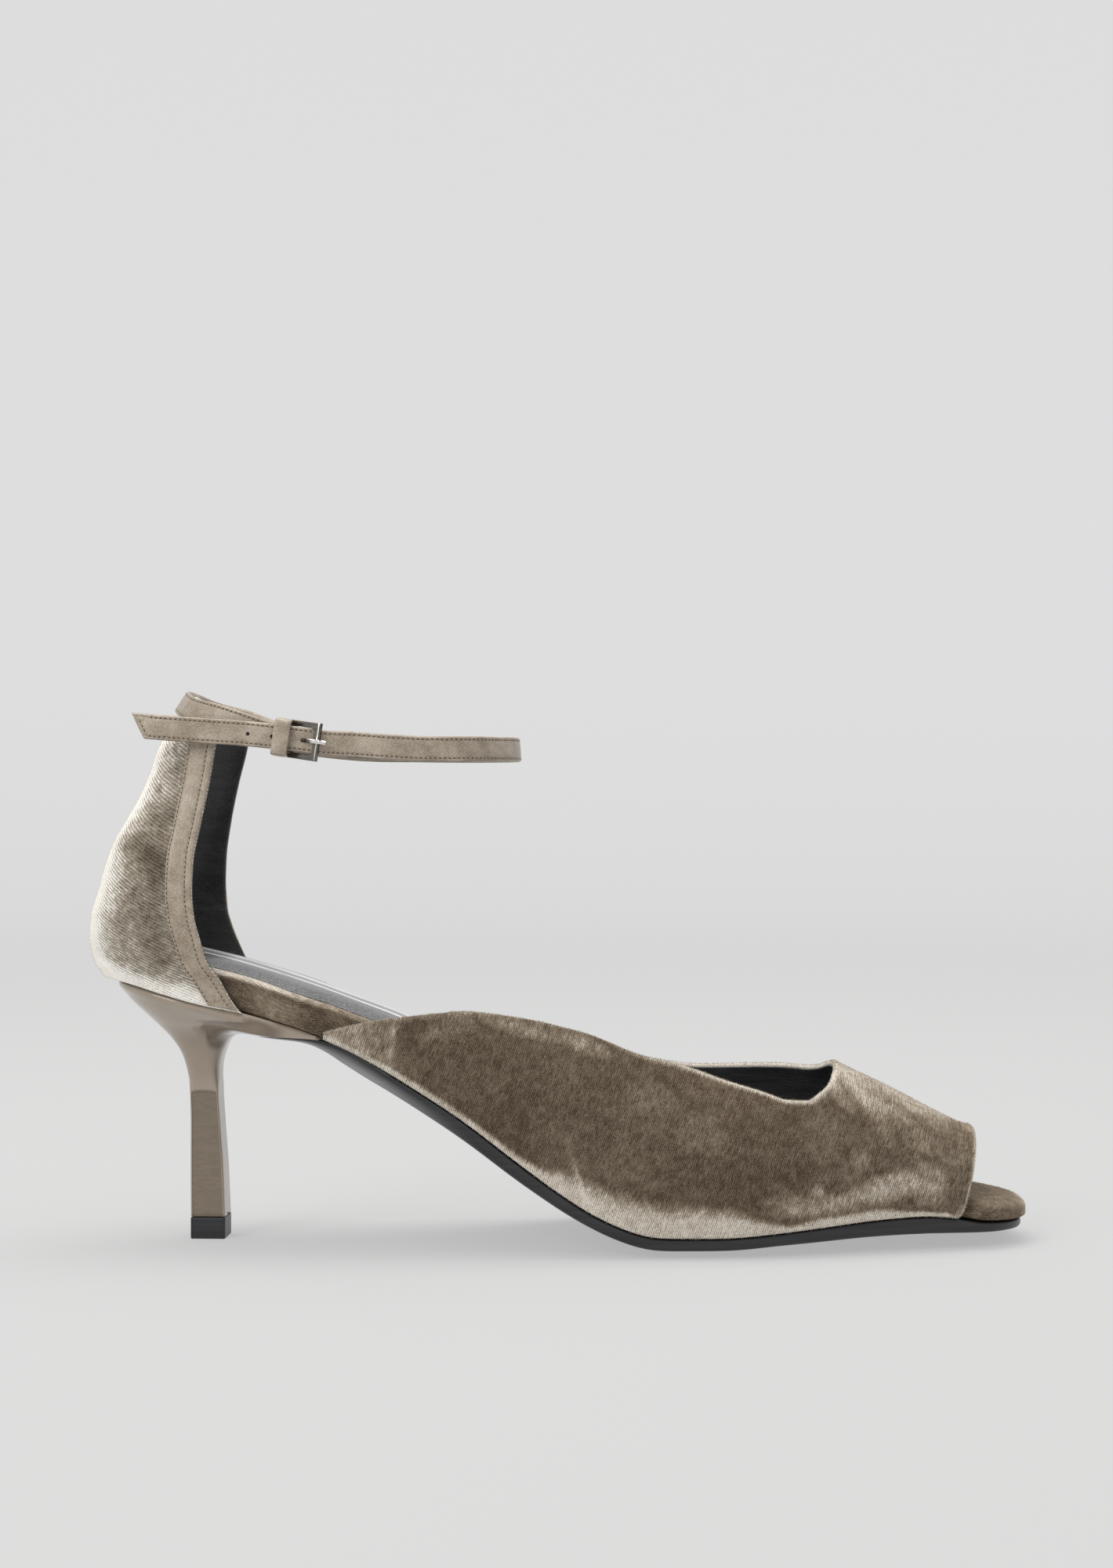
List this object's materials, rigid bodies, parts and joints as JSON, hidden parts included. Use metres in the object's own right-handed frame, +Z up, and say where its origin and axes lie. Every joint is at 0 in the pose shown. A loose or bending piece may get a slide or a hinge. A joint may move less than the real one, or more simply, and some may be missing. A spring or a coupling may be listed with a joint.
{
  "type": "heeled sandal",
  "caption": "Velvet open-toe sandal on a slim covered heel, with a tall closed back and a buckled ankle strap.",
  "frame": {"origin": "on the floor, at the middle of the heel's top piece", "axes": "+X towards the toe, +Y towards the inner side of the right foot, +Z up"},
  "size_m": [0.2478, 0.0778, 0.1448],
  "materials": {
    "velvet": "matte",
    "strap": "satin",
    "sock": "gloss",
    "heel": "gloss",
    "sole": "satin",
    "buckle": "satin"
  },
  "bodies": {
    "root": {"outsole": "sole", "top_piece": "sole", "heel": "heel", "footbed": "velvet", "sock": "sock", "vamp": "velvet", "counter": "velvet", "facing_outer": "strap", "facing_inner": "strap", "ankle_strap": "strap", "keeper": "strap", "buckle_frame": "buckle", "buckle_prong": "buckle"}
  },
  "joints": []
}
